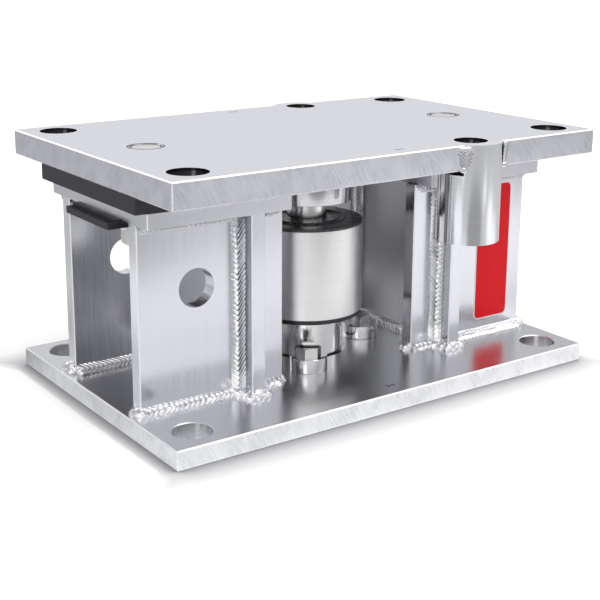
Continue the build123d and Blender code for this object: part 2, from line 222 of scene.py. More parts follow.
def tint_faces(tree, colour, painted_shade_right, sides, raised, painted_shade_ends):
    """Give outer faces their own colour, and painted shade towards +x, above the beads and on end faces, each
    where given.
    """
    shade_right_start, shade_right_full = -0.08, 0.19
    side_start, side_full = 0.0015, 0.0008
    raised_start, raised_full = 0.030, 0.036
    if painted_shade_right is not None:
        # Painted shade: darker towards +x, where the steel reflects darker surroundings
        towards_right = spread(tree, own_place(tree)["X"], 0.0, 1.0, shade_right_start, shade_right_full)
        colour = blend_colours(tree, towards_right, colour, painted_shade_right)
    if sides is not None:
        place = own_place(tree)
        far_x = spread(tree, unsigned(tree, place["X"]), 0.0, 1.0, plate_x - side_start, plate_x - side_full)
        far_y = spread(tree, unsigned(tree, place["Y"]), 0.0, 1.0, plate_y - side_start, plate_y - side_full)
        outer = sums(tree, "MULTIPLY", upright_share(tree), sums(tree, "MAXIMUM", far_x, far_y))
        colour = blend_colours(tree, outer, colour, sides)
    if raised is not None:
        # Painted shade: what stands above the base plate's beads gets a darker colour
        painted_shade_above_foot = spread(tree, own_place(tree)["Z"], 0.0, 1.0, raised_start, raised_full)
        colour = blend_colours(tree, painted_shade_above_foot, colour, raised)
    if painted_shade_ends is not None:
        # Painted shade: the faces towards -x and +x get a darker colour
        ends = spread(tree, unsigned(tree, own_normal(tree)["X"]), 0.0, 1.0, 0.9, 0.98)
        colour = blend_colours(tree, ends, colour, painted_shade_ends)
    return colour


def shade_holes(tree, colour, holes, bolt_ends, stamps):
    """Painted shade on hole walls with a painted light band, painted highlights round their rims, rings of
    painted shade and highlight round flush bolt ends, and punched marks in painted shade.
    """
    rim_width, wall_depth = 0.0012, 0.0003
    band_start, band_full, band_fade, band_end = 0.1945, 0.1965, 0.1992, 0.2004
    wall = upright_share(tree)
    level = own_place(tree)["Z"]
    band = sums(tree, "MULTIPLY", spread(tree, level, 0.0, 1.0, band_start, band_full),
                spread(tree, level, 1.0, 0.0, band_fade, band_end))
    # Painted shade inside the holes, with a painted light band on the far wall near the top plate's face
    shaded = blend_colours(tree, band, painted_shade_and_mill_mark_tone, painted_wall_light)
    for (x, y), both_ends, radius in holes:
        away = from_axis(tree, x, y, both_ends)
        # Painted highlight round each rim and painted shade on each wall
        rim = ring_share(tree, away, radius - 0.0001, radius + rim_width)
        colour = blend_colours(tree, rim, colour, painted_edge_highlight)
        inside = ring_share(tree, away, -0.001, radius + wall_depth)
        colour = blend_colours(tree, sums(tree, "MULTIPLY", inside, wall), colour, shaded)
    for (x, y), radius in bolt_ends:
        away = from_axis(tree, x, y, True)
        # Rings of painted shade and a painted highlight round each flush bolt end
        for start, stop, shade in ((-0.0005, 0.0014, painted_ring_shade), (0.0014, 0.0028, painted_shade_and_mill_mark_tone),
                                   (0.0028, 0.0038, painted_edge_highlight)):
            colour = blend_colours(tree, ring_share(tree, away, radius + start, radius + stop), colour, shade)
    # Punched marks in painted shade
    for x, y in stamps:
        colour = blend_colours(tree, stamp_share(tree, x, y), colour, painted_shade_and_mill_mark_tone)
    return colour


def brushed_plate(name, light, dark, lines, rough_low, rough_high, depth, marks=None, holes=(), bolt_ends=(),
                  stamps=(), turned=False, painted_shade_right=None, sides=None, raised=None, painted_shade_ends=None):
    """Brushed stainless steel: fine lines one way, wider soft streaks under them and painted highlights on the
    edges.
    lines gives the counts per metre of the fine and of the wide streaks, and depth how deep the fine ones are.
    marks is the mid height of a plate with milled sides.
    holes list a place, whether it is also at -x, and a radius, bolt_ends a place and a radius, stamps a place.
    worn is the darker colour painted as shade towards +x, sides that of the outer faces, raised the darker
    colour painted as shade on what stands above the base plate's beads, and sawn that painted as shade on the
    faces towards -x and +x."""
    mark_depth, mark_shade, sink_width, sink_depth = 0.00002, 0.24, 0.0022, 0.0016
    material, tree, shader = start_finish(name)
    fine = streaks(tree, lines[0], detail=2.0)
    wide = streaks(tree, lines[1])
    cloud = streaks(tree, (9.0, 9.0, 9.0))
    tone = sums(tree, "ADD", sums(tree, "MULTIPLY", wide, 0.6), sums(tree, "MULTIPLY", cloud, 0.4))
    colour = blend_colours(tree, spread(tree, tone, 0.0, 1.0), dark, light)
    colour = tint_faces(tree, colour, painted_shade_right, sides, raised, painted_shade_ends)
    # Painted highlight on the narrow edges that face sideways or down, and a darker painted shade on those that
    # face up
    facing_up = spread(tree, own_normal(tree)["Z"], 0.0, 1.0, 0.2, 0.4)
    edge = blend_colours(tree, facing_up, painted_edge_highlight, painted_upper_edge_shade)
    colour = blend_colours(tree, corner_share(tree, turned), colour, edge)
    colour = shade_holes(tree, colour, holes, bolt_ends, stamps)

    rough = spread(tree, wide, rough_low, rough_high)
    if not turned:
        # The narrow edges are duller, most of all those that don't face up
        dull_upright, dull_top = 0.6, 0.38
        dullness = spread(tree, own_normal(tree)["Z"], dull_upright, dull_top, 0.2, 0.4)
        rough = sums(tree, "MAXIMUM", rough, sums(tree, "MULTIPLY", corner_share(tree), dullness))
    tree.links.new(rough, shader.inputs["Roughness"])

    below = bumps(tree, shader, fine, depth)
    if marks is not None:
        strokes = mill_marks(tree, marks)
        below = bumps(tree, shader, strokes, mark_depth, below=below)
        colour = blend_colours(tree, spread(tree, strokes, 0.0, mark_shade, 0.32, 0.66), colour, painted_shade_and_mill_mark_tone)
    tree.links.new(colour, shader.inputs["Base Color"])
    for (x, y), radius in bolt_ends:
        sink = spread(tree, from_axis(tree, x, y, True), 0.0, 1.0, radius, radius + sink_width)
        below = bumps(tree, shader, sink, sink_depth, below=below)
    return material


def plain_coat(name, light, dark, metallic, rough_low, rough_high, grain, depth, gloss=0.5):
    """Coat, plastic or film with a fine uneven surface. grain gives its counts per metre."""
    material, tree, shader = start_finish(name, metallic=metallic)
    value = streaks(tree, grain, detail=4.0)
    tree.links.new(blend_colours(tree, spread(tree, value, 0.0, 1.0), dark, light), shader.inputs["Base Color"])
    tree.links.new(spread(tree, value, rough_low, rough_high), shader.inputs["Roughness"])
    shader.inputs["Specular IOR Level"].default_value = gloss
    bumps(tree, shader, value, depth)
    return material


# Counts per metre of the fine and the wide streaks along x, y and z
vertical_lines = ((1900.0, 1900.0, 2.0), (300.0, 300.0, 0.5))
along_lines = ((2.0, 1700.0, 1700.0), (0.5, 160.0, 160.0))
scratch_lines = ((1400.0, 1400.0, 20.0), (700.0, 700.0, 26.0))
turned_lines = ((60.0, 60.0, 3000.0), (8.0, 8.0, 500.0))
scattered = ((400.0, 400.0, 400.0), (90.0, 90.0, 90.0))
weld_grain = ((900.0, 900.0, 900.0), (160.0, 160.0, 160.0))

tower_steel = brushed_plate("tower_steel", steel_light, steel_dark, vertical_lines, 0.17, 0.21, 0.000006)
# The web plates inside the towers get a darker colour as painted shade
web_steel_painted_shade = brushed_plate("web_steel_painted_shade", (0.56, 0.565, 0.59), (0.53, 0.535, 0.56), vertical_lines, 0.30, 0.34,
                          0.000006)
# The ribs' faces towards -x and +x get a darker colour as painted shade
rib_steel = brushed_plate("rib_steel", steel_light, steel_dark, vertical_lines, 0.17, 0.21, 0.000006,
                          painted_shade_ends=(0.48, 0.485, 0.505))
scratched_steel = brushed_plate("scratched_steel", (0.98, 0.985, 1.0), (0.78, 0.785, 0.81), scratch_lines,
                                0.20, 0.26, 0.000006)
top_steel = brushed_plate("top_plate_steel", (0.88, 0.885, 0.935), (0.86, 0.865, 0.915), along_lines,
                          0.26, 0.27, 0.0000004, marks=top_middle,
                          holes=((mount_hole, True, mount_radius), (jacking_bore, False, jacking_radius)),
                          bolt_ends=((flush_bolt, flush_radius),), stamps=((0.002, -0.116), (0.002, 0.116)))
# The base plate's top gets a darker painted shade towards +x
base_steel = brushed_plate("base_plate_steel", (0.76, 0.765, 0.785), (0.74, 0.745, 0.765), along_lines,
                           0.23, 0.26, 0.000008, marks=base_middle, stamps=((0.0, -0.115),),
                           painted_shade_right=(0.58, 0.585, 0.605), sides=(0.93, 0.935, 0.95))
cap_steel = brushed_plate("cap_steel", (0.78, 0.785, 0.82), (0.74, 0.745, 0.78), along_lines, 0.22, 0.26,
                          0.000004)
turned_steel = brushed_plate("turned_steel", (0.82, 0.82, 0.83), (0.66, 0.66, 0.67), turned_lines, 0.10, 0.16,
                             0.00001, turned=True)
foot_steel = brushed_plate("foot_steel", (0.97, 0.96, 0.96), (0.94, 0.93, 0.93), turned_lines, 0.16, 0.20,
                           0.000002, turned=True)
boss_steel = brushed_plate("boss_steel", (0.93, 0.935, 0.96), (0.89, 0.895, 0.92), turned_lines, 0.10, 0.14,
                           0.000003, turned=True)
canister_steel = brushed_plate("canister_steel", (0.95, 0.935, 0.93), (0.91, 0.895, 0.89), turned_lines,
                               0.30, 0.33, 0.0000015, turned=True)
bolt_steel = brushed_plate("bolt_steel", (0.84, 0.83, 0.82), (0.76, 0.75, 0.74), scattered, 0.12, 0.22,
                           0.00001, turned=True)
# Welds above the foot beads get a darker colour as painted shade
weld_steel = brushed_plate("weld_steel", (0.97, 0.97, 0.98), (0.88, 0.88, 0.90), weld_grain, 0.20, 0.30,
                           0.000003, turned=True, raised=(0.62, 0.625, 0.64))

soft_grain, fine_grain, finest_grain = (60.0, 60.0, 60.0), (300.0, 300.0, 300.0), (400.0, 400.0, 400.0)
black_coat = plain_coat("black_coat", (0.030, 0.030, 0.034), (0.015, 0.015, 0.018), 0.0, 0.25, 0.38,
                        fine_grain, 0.00004)
lid_coat = plain_coat("lid_coat", (0.075, 0.073, 0.076), (0.045, 0.044, 0.047), 0.0, 0.24, 0.34,
                      fine_grain, 0.00004)
black_plastic = plain_coat("black_plastic", (0.028, 0.028, 0.036), (0.014, 0.014, 0.018), 0.0, 0.42, 0.6,
                           (60.0, 60.0, 900.0), 0.00006)
label_red = plain_coat("label_red", (0.80, 0.004, 0.012), (0.77, 0.003, 0.010), 0.0, 0.32, 0.36,
                       soft_grain, 0.000001, gloss=0.2)
label_white = plain_coat("label_white", (0.85, 0.87, 0.87), (0.82, 0.84, 0.84), 0.0, 0.25, 0.35,
                         soft_grain, 0.000001)
gauge_foil = plain_coat("gauge_foil", (0.72, 0.42, 0.18), (0.60, 0.32, 0.12), 0.0, 0.3, 0.5,
                        finest_grain, 0.00001)
circuit_board = plain_coat("circuit_board", (0.04, 0.25, 0.12), (0.02, 0.16, 0.08), 0.0, 0.3, 0.5,
                           finest_grain, 0.00002)
gland_metal = plain_coat("gland_metal", (0.74, 0.72, 0.66), (0.64, 0.62, 0.56), 1.0, 0.2, 0.34,
                         fine_grain, 0.00002)

finishes = {
    "base_plate": base_steel, "top_plate": top_steel, "jacking_bosses": boss_steel,
    "boss_welds": weld_steel, "upper_pressure_cup": turned_steel, "hold_down_bolts": bolt_steel,
    "hold_down_washers": turned_steel, "cell_spring_element": foot_steel,
    "cell_strain_gauges": gauge_foil, "cell_base_ring": black_coat, "cell_housing": canister_steel,
    "cell_lid": lid_coat, "cell_terminal_board": circuit_board, "cell_cable_gland": gland_metal,
    "cell_gland_nut": gland_metal, "keeper_washers": turned_steel, "keeper_bolts": bolt_steel,
}
for end in ("left", "right"):
    finishes[f"{end}_front_side_plate"] = tower_steel
    finishes[f"{end}_back_side_plate"] = scratched_steel
    finishes[f"{end}_front_rib"] = rib_steel
    finishes[f"{end}_back_rib"] = rib_steel
    finishes[f"{end}_web_plate"] = web_steel_painted_shade
    finishes[f"{end}_cap_plate"] = cap_steel
    finishes[f"{end}_tower_welds"] = weld_steel
    finishes[f"{end}_upper_shim"] = black_plastic
    finishes[f"{end}_lower_shim"] = black_plastic
for name, material in finishes.items():
    nodes[name].data.materials.clear()
    nodes[name].data.materials.append(material)


# Pieces that take the place of the plain solids

def keep_piece(shape, name, material, body, *stands_for):
    """Finish a bmesh as a smooth piece that rides on a body and may stand for frame nodes."""
    bmesh.ops.remove_doubles(shape, verts=shape.verts, dist=0.000002)
    bmesh.ops.recalc_face_normals(shape, faces=shape.faces)
    for face in shape.faces:
        face.smooth = True
    mesh = bpy.data.meshes.new(name)
    shape.to_mesh(mesh)
    shape.free()
    mesh.set_sharp_from_angle(angle=math.radians(32))
    mesh.materials.append(material)
    piece = bpy.data.objects.new(name, mesh)
    bpy.context.scene.collection.objects.link(piece)
    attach(piece, body)
    if stands_for:
        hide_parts(*stands_for)


def wobble(value):
    """A repeatable uneven number from -1 to 1 for any value."""
    return math.sin(value * 12.9898 + 4.1) * math.cos(value * 7.233 + 1.7)


def weld_bead(shape, start, end, leg_a, leg_b, leg=0.0064, pitch=0.0040, ripple=0.0008, lean=(1.3, 1.3),
              crown=0.5, widths=(1.0, 1.0), bow=1.0, strong=-1):
    """Rippled fillet bead in the corner of two faces. The rows of its grid follow the ripples.
    lean says how far these slant, and widths how wide the bead is, at its start and its end.
    crown is 0 for a flat bead and 1 for a round one.
    bow is 1 for ripples like arrows and 0 for ripples that slant one way. The less they bow, the fainter they
    are away from the strong edge, which is -1 for the first face and 1 for the second."""
    rows_per_ripple, columns, buried_depth = 8, 13, 0.0004
    ripple_rise, ripple_fall = 3.2, 0.6
    start, end = Vector(start), Vector(end)
    leg_a, leg_b = Vector(leg_a), Vector(leg_b)
    run = (end - start).length
    along = (end - start) / run
    widest = max(abs(lean[0]), abs(lean[1])) * pitch
    rows = max(12, int((run + 2 * widest) / pitch * rows_per_ripple))
    grid = bmesh.new()
    bmesh.ops.create_grid(grid, x_segments=rows, y_segments=columns, size=0.5)
    buried = start - (leg_a + leg_b) * buried_depth
    for vert in grid.verts:
        row = (vert.co.x + 0.5) * (run + 2 * widest) - widest
        column = round((vert.co.y + 0.5) * columns)
        across = min(column, columns - 1) / (columns - 1)
        angle = math.radians(90.0) * across
        signed = (across - 0.5) * 2.0 * strong
        side = abs(signed)
        part = min(1.0, max(0.0, row / run))
        slant = lean[0] + (lean[1] - lean[0]) * part
        place = min(run, max(0.0, row - slant * (side * bow + signed * (1.0 - bow)) * pitch))
        if column == columns:
            vert.co = buried + along * place
            continue
        # A pool at both ends, where the bead starts and stops
        from_end = min(1.0, min(place, run - place) / (leg * 0.7))
        size = max(0.02, math.sqrt(1.0 - (1.0 - from_end) ** 2))
        phase = row / pitch + 0.1 * wobble(math.floor(row / pitch / 2) + start.x * 91.0)
        saw = phase - math.floor(phase)
        wave = (1.0 - ripple_fall * saw) * min(1.0, saw * ripple_rise)
        flat = 1.0 / (math.cos(angle) + math.sin(angle))
        reach = leg * (flat * (1.0 - crown) + crown) * (1.0 + 0.05 * wobble(place * 9.0 + start.y))
        reach *= widths[0] + (widths[1] - widths[0]) * place / run
        fade = 1.0 - 2.0 * (1.0 - bow) * max(0.0, -signed)
        reach += ripple * (wave * 2.4 - 1.4) * (1.0 - 0.3 * side) * fade
        vert.co = start + along * place + (leg_a * math.cos(angle) + leg_b * math.sin(angle)) * reach * size
    bmesh.ops.remove_doubles(grid, verts=grid.verts, dist=0.000002)
    bmesh.ops.recalc_face_normals(grid, faces=grid.faces)
    joined = bpy.data.meshes.new("bead")
    grid.to_mesh(joined)
    grid.free()
    shape.from_mesh(joined)
    bpy.data.meshes.remove(joined)


def weld_blob(shape, centre, size, seed):
    """Uneven lump of weld metal where beads meet or end."""
    lump = bmesh.ops.create_icosphere(shape, subdivisions=3, radius=1.0)["verts"]
    for vert in lump:
        way = vert.co.copy()
        swell = (1.0 + 0.07 * wobble(way.x * 0.25 + way.z * 0.2 + seed)
                 + 0.05 * wobble(way.y * 0.3 - way.z * 0.2 + seed * 2.0))
        vert.co = Vector(centre) + Vector((way.x * size[0], way.y * size[1], way.z * size[2])) * swell


# Distances from the module's middle to the faces of the tower plates
tower_low, tower_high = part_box("left_front_side_plate")
side_out = -tower_low.y
side_in = -tower_high.y
end_out = -tower_low.x
end_in = -tower_high.x
web_in = -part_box("left_web_plate")[1].x
web_out = -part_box("left_web_plate")[0].x
rib_out = -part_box("left_front_rib")[0].y
cap_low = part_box("left_cap_plate")[0].z
cap_in = -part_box("left_cap_plate")[1].x

# Sizes of the beads, by where they run
foot_bead = {"leg": 0.0062, "pitch": 0.0044, "ripple": 0.0013, "lean": (1.7, 1.7), "bow": 0.6, "strong": -1}
end_bead = {"leg": 0.006}
rib_foot_bead = {"leg": 0.0066}
upright_bead = {"leg": 0.0076, "ripple": 0.0015, "crown": 0.3, "bow": 0.55}
inner_upright_bead = {"leg": 0.007, "lean": (-2.2, -2.2)}
cap_bead = {"leg": 0.0070, "ripple": 0.0012}
boss_bead = {"leg": 0.0062, "pitch": 0.0030, "ripple": 0.0005, "lean": (-1.6, -1.6), "crown": 0.2,
             "widths": (0.62, 1.25)}


def weld_tower(end_name, end):
    """All beads of one tower. end is -1 at the left and 1 at the right."""
    shape = bmesh.new()
    up, down = (0, 0, 1), (0, 0, -1)
    away, towards = (end, 0, 0), (-end, 0, 0)
    upright_low, upright_high = base_top + 0.003, cap_low - 0.001
    upright_lean = (-2.6, -0.6 if end > 0 else -2.4)

    def lay(start, finish, leg_a, leg_b, **sizes):
        """Beads run towards +X or up, so the ripples of both towers point the same way."""
        if finish[0] < start[0] - 0.0001:
            start, finish = finish, start
        weld_bead(shape, start, finish, leg_a, leg_b, **sizes)

    for face in (-1, 1):
        out, inward = (0, face, 0), (0, -face, 0)
        outer, inner, ribs = face * side_out, face * side_in, face * rib_out
        lay((end * end_in, outer, base_top), (end * web_in, outer, base_top), out, up, **foot_bead)
        lay((end * web_out, outer, base_top), (end * (end_out + 0.003), outer, base_top), out, up, **foot_bead)
        for near, far in ((end_in, web_in), (web_out, end_out)):
            lay((end * near, inner, base_top), (end * far, inner, base_top), inward, up)
        lay((end * end_out, inner, base_top), (end * end_out, outer, base_top), away, up, **end_bead)
        lay((end * end_in, inner, base_top), (end * end_in, outer, base_top), towards, up, **end_bead)
        for level, way in ((web_in, towards), (web_out, away)):
            lay((end * level, outer, base_top), (end * level, ribs, base_top), way, up, **rib_foot_bead)
            weld_bead(shape, (end * level, outer, upright_low), (end * level, outer, upright_high), out, way,
                      lean=upright_lean, strong=end, **upright_bead)
            weld_bead(shape, (end * level, inner, upright_low), (end * level, inner, upright_high), inward, way,
                      **inner_upright_bead)
        lay((end * web_in, ribs, base_top), (end * web_out, ribs, base_top), out, up, **rib_foot_bead)
        for near, far in ((cap_in, web_in), (web_out, end_out)):
            lay((end * near, outer, cap_low), (end * far, outer, cap_low), out, down, **cap_bead)
        for x, y, size, seed in (
            (end_out + 0.0006, outer - face * 0.0015, (0.0056, 0.0078, 0.0062), 1.0),
            (web_out + 0.0024, outer + face * 0.0024, (0.0070, 0.0070, 0.0058), 3.0),
            (web_in - 0.0024, outer + face * 0.0024, (0.0070, 0.0070, 0.0058), 4.0),
            (web_out + 0.0008, ribs, (0.0050, 0.0050, 0.0048), 5.0),
            (web_in - 0.0008, ribs, (0.0050, 0.0050, 0.0048), 6.0),
        ):
            weld_blob(shape, (end * x, y, base_top + 0.0006), size, seed + end + face * 0.3)
    lay((end * web_in, -side_in, base_top), (end * web_in, side_in, base_top), towards, up)
    lay((end * web_out, -side_in, base_top), (end * web_out, side_in, base_top), away, up)
    keep_piece(shape, f"{end_name}_weld_beads", weld_steel, "root", f"{end_name}_tower_welds")


weld_tower("left", -1)
weld_tower("right", 1)

# Beads between the jacking bosses and the top plate's edge
boss_low, boss_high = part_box("jacking_bosses")
boss_x = (boss_low.x + boss_high.x) / 2
boss_radius = (boss_high.x - boss_low.x) / 2
boss_y = boss_high.y - boss_radius
half_land = math.sqrt(boss_radius**2 - (plate_y - boss_y) ** 2)
shape = bmesh.new()
for face in (-1, 1):
    for hand in (-1, 1):
        corner = (boss_x + hand * half_land, face * plate_y)
        tangent = (-hand * (plate_y - boss_y) / boss_radius, face * half_land / boss_radius, 0.0)
        weld_bead(shape, (*corner, top_low.z + 0.001), (*corner, top_high.z - 0.0003), (hand, 0, 0), tangent,
                  **boss_bead)
        weld_blob(shape, (corner[0] + hand * 0.0012, corner[1] + face * 0.0010, top_low.z + 0.0012),
                  (0.0040, 0.0022, 0.0024), face * 3.0 + hand)
keep_piece(shape, "boss_weld_beads", weld_steel, "top_carriage", "boss_welds")


def turn_round(shape, outline, centre=(0.0, 0.0), steps=96):
    """Spin an outline of (radius, height) points about a vertical axis into a closed shape."""
    points = [shape.verts.new((radius, 0.0, level)) for radius, level in outline]
    edges = [shape.edges.new(pair) for pair in zip(points, points[1:])]
    bmesh.ops.spin(shape, geom=points + edges, cent=(0, 0, 0), axis=(0, 0, 1), angle=2 * math.pi,
                   steps=steps, use_merge=True, use_duplicate=False)
    bmesh.ops.remove_doubles(shape, verts=shape.verts, dist=0.000002)
    moved = [vert for vert in shape.verts if not vert.tag]
    bmesh.ops.translate(shape, verts=moved, vec=(*centre, 0.0))
    for vert in shape.verts:
        vert.tag = True


def rounded(outline, width):
    """Round the corners of an outline, given once in order."""
    rings = 3
    smooth = [outline[0]]
    for before, corner, after in zip(outline, outline[1:], outline[2:]):
        a, b, c = Vector(before), Vector(corner), Vector(after)
        reach = min(width, (a - b).length * 0.45, (c - b).length * 0.45)
        first, last = b + (a - b).normalized() * reach, b + (c - b).normalized() * reach
        for step in range(rings + 1):
            t = step / rings
            smooth.append(tuple(first * (1 - t) ** 2 + b * 2 * t * (1 - t) + last * t * t))
    smooth.append(outline[-1])
    return smooth


# Lid of the cell with its two rolled rings
lid_low, lid_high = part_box("cell_lid")
lid_face = lid_high.z
lid_edge = lid_high.x
neck_hole = 0.0171
roll_width, roll_height = 0.0028, 0.00095
rolls = []
for radius in (0.0262, 0.0312):
    for step in range(9):
        t = step / 8
        rolls.append((radius - roll_width / 2 + roll_width * t, lid_face + roll_height * math.sin(math.pi * t)))
outline = [(neck_hole, lid_low.z), (neck_hole, lid_face - 0.0002), (neck_hole + 0.0002, lid_face), *rolls,
           *rounded([(0.036, lid_face), (lid_edge, lid_face), (lid_edge, lid_low.z), (neck_hole, lid_low.z)],
                    0.0005)]
shape = bmesh.new()
turn_round(shape, outline)
keep_piece(shape, "rolled_lid", lid_coat, "load_cell", "cell_lid")


def hex_head(shape, centre, low, high, flats, turn):
    """Hexagon head with the turned chamfer of a bolt on its top, or on its underside if high is below low."""
    chamfer_start, chamfer_drop, top_radius = flats * 0.475, 0.55, flats * 0.47
    way = 1.0 if high > low else -1.0
    height = abs(high - low)
    corner = flats / 2 / math.cos(math.radians(30))
    made = bmesh.ops.create_circle(shape, cap_ends=False, segments=6, radius=corner)["verts"]
    sides = list({edge for vert in made for edge in vert.link_edges})
    bmesh.ops.subdivide_edges(shape, edges=sides, cuts=7)
    ring = [vert for vert in shape.verts if not vert.tag]
    edges = list({edge for vert in ring for edge in vert.link_edges})
    shape.faces.new(sorted(ring, key=lambda vert: math.atan2(vert.co.y, vert.co.x)))
    grown = bmesh.ops.extrude_edge_only(shape, edges=edges)["geom"]
    upper = [item for item in grown if isinstance(item, bmesh.types.BMVert)]
    for vert in upper:
        beyond = max(0.0, vert.co.xy.length - chamfer_start)
        vert.co.z = height - beyond * chamfer_drop
    rim = [item for item in grown
           if isinstance(item, bmesh.types.BMEdge) and all(vert in upper for vert in item.verts)]
    grown = bmesh.ops.extrude_edge_only(shape, edges=rim)["geom"]
    inner = [item for item in grown if isinstance(item, bmesh.types.BMVert)]
    for vert in inner:
        vert.co.xy = vert.co.xy.normalized() * top_radius
        vert.co.z = height
    shape.faces.new(sorted(inner, key=lambda vert: math.atan2(vert.co.y, vert.co.x)))
    fresh = [vert for vert in shape.verts if not vert.tag]
    bmesh.ops.scale(shape, verts=fresh, vec=(1.0, 1.0, way))
    bmesh.ops.rotate(shape, verts=fresh, cent=(0, 0, 0), matrix=Matrix.Rotation(turn, 3, "Z"))
    bmesh.ops.translate(shape, verts=fresh, vec=(*centre, low))
    for vert in shape.verts:
        vert.tag = True


# Pressure cup with eased edges
cup_low, cup_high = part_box("upper_pressure_cup")
pocket_radius, pocket_depth = 0.0185, 0.02
pocket_floor = cup_low.z + pocket_depth
shape = bmesh.new()
turn_round(shape, rounded([(0.0, cup_high.z), (cup_high.x, cup_high.z), (cup_high.x, cup_low.z),
                           (pocket_radius, cup_low.z), (pocket_radius, pocket_floor), (0.0, pocket_floor)],
                          0.0009), steps=128)
keep_piece(shape, "cup_with_eased_edges", turned_steel, "top_carriage", "upper_pressure_cup")


def washer_outline(bore, outer, low, high, eased):
    """Outline of a washer with eased edges, closed at its lower bore edge."""
    return rounded([(bore, low), (outer, low), (outer, high), (bore, high), (bore, low)], eased)


# Hold-down bolts with chamfered heads, their washers, and their ends in the top plate
washer_low, washer_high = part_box("hold_down_washers")
bolt_low, bolt_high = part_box("hold_down_bolts")
washer_radius, washer_bore, shank_radius, end_radius = 0.026, 0.012, 0.01195, 0.0106
bolt_x = washer_high.x - washer_radius
head_flats, head_turn = 0.036, math.radians(11.0)
shank_start, chamfer = washer_low.z - 0.001, 0.0012
shape = bmesh.new()
for hand in (-1, 1):
    outline = washer_outline(washer_bore, washer_radius, washer_low.z, washer_high.z, 0.0008)
    turn_round(shape, outline, (hand * bolt_x, 0.0))
keep_piece(shape, "hold_down_washer_pair", turned_steel, "top_carriage", "hold_down_washers")
shape = bmesh.new()
for hand in (-1, 1):
    outline = [(0.0, shank_start), (shank_radius, shank_start), (shank_radius, bolt_high.z - chamfer),
               (end_radius, bolt_high.z), (0.0, bolt_high.z)]
    turn_round(shape, rounded(outline, 0.0003), (hand * bolt_x, 0.0))
    hex_head(shape, (hand * bolt_x, 0.0), washer_low.z, bolt_low.z, head_flats, head_turn)
keep_piece(shape, "hold_down_bolt_pair", bolt_steel, "top_carriage", "hold_down_bolts")

# Keeper bolts and their washers
keeper_low, keeper_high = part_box("keeper_washers")
keeper_circle, keeper_bore, keeper_radius, keeper_flats = 0.056, 0.006, 0.0152, 0.018
keeper_places = []
for turn in (-123.0, -3.0, 117.0):
    angle = math.radians(turn)
    keeper_places.append((keeper_circle * math.cos(angle), keeper_circle * math.sin(angle)))
bolt_head_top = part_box("keeper_bolts")[1].z
shape = bmesh.new()
for place in keeper_places:
    outline = washer_outline(keeper_bore, keeper_radius, keeper_low.z, keeper_high.z, 0.0006)
    turn_round(shape, outline, place, 72)
keep_piece(shape, "keeper_washer_set", turned_steel, "root", "keeper_washers")
shape = bmesh.new()
for index, place in enumerate(keeper_places):
    hex_head(shape, place, keeper_high.z, bolt_head_top, keeper_flats, math.radians(8.0 + 17.0 * index))
keep_piece(shape, "keeper_bolt_heads", bolt_steel, "root", "keeper_bolts")


def rounded_label(name, material, low, high, face_y, thickness, radius):
    """Flat label with rounded corners on a front face. low and high are (x, z) corners."""
    shape = bmesh.new()
    bmesh.ops.create_grid(shape, x_segments=1, y_segments=1, size=0.5)
    bmesh.ops.scale(shape, verts=shape.verts, vec=(high[0] - low[0], high[1] - low[1], 1.0))
    bmesh.ops.bevel(shape, geom=list(shape.verts), offset=radius, offset_type="OFFSET", segments=8, profile=0.5,
                    affect="VERTICES", material=-1)
    pushed = bmesh.ops.extrude_face_region(shape, geom=list(shape.faces))["geom"]
    bmesh.ops.translate(shape, verts=[item for item in pushed if isinstance(item, bmesh.types.BMVert)],
                        vec=(0.0, 0.0, thickness))
    bmesh.ops.rotate(shape, verts=shape.verts, cent=(0, 0, 0), matrix=Matrix.Rotation(math.radians(90), 3, "X"))
    bmesh.ops.translate(shape, verts=shape.verts, vec=((low[0] + high[0]) / 2, face_y, (low[1] + high[1]) / 2))
    keep_piece(shape, name, material, "root")


border_low, border_high, border_width = Vector((0.1374, 0.0285)), Vector((0.1766, 0.1495)), 0.0011
field_low = border_low + Vector((border_width, border_width))
field_high = border_high - Vector((border_width, border_width))
rounded_label("label_border", label_white, border_low, border_high, -side_out, 0.00025, 0.0052)
rounded_label("label_field", label_red, field_low, field_high, -side_out - 0.0002, 0.0002, 0.0042)


# Floor, light and camera

# How light the floor looks to the metal: x, y, share of x that counts, full radius, end radius, level
floor_spots = (
    (0.2, -0.33, 0.4, 0.10, 0.22, 0.92),
    (0.42, -0.36, 0.7, 0.10, 0.22, 0.92),
    (0.5, -0.60, 1.0, 0.08, 0.22, 1.0),
    (-0.2, -0.33, 1.0, 0.12, 0.24, 0.90),
    (-0.12, -0.70, 1.0, 0.22, 0.32, 0.32),
    (-0.55, -0.25, 1.0, 0.14, 0.22, 1.0),
    (-0.81, -0.56, 1.0, 0.06, 0.15, 1.0),
    (-0.47, -0.02, 1.0, 0.04, 0.12, 0.35),
    (-0.40, 0.22, 1.0, 0.10, 0.20, 1.0),
    (-0.06, 0.33, 1.0, 0.18, 0.28, 0.10),
    (0.30, -0.92, 1.0, 0.06, 0.14, 1.0),
)
# That level elsewhere, and how much the camera sees the floor lifted near the base, far off and beside its ends
plain_level, near_lift, far_lift, end_lift = 0.56, 0.40, 0.40, 0.26
floor_drop = 0.0003


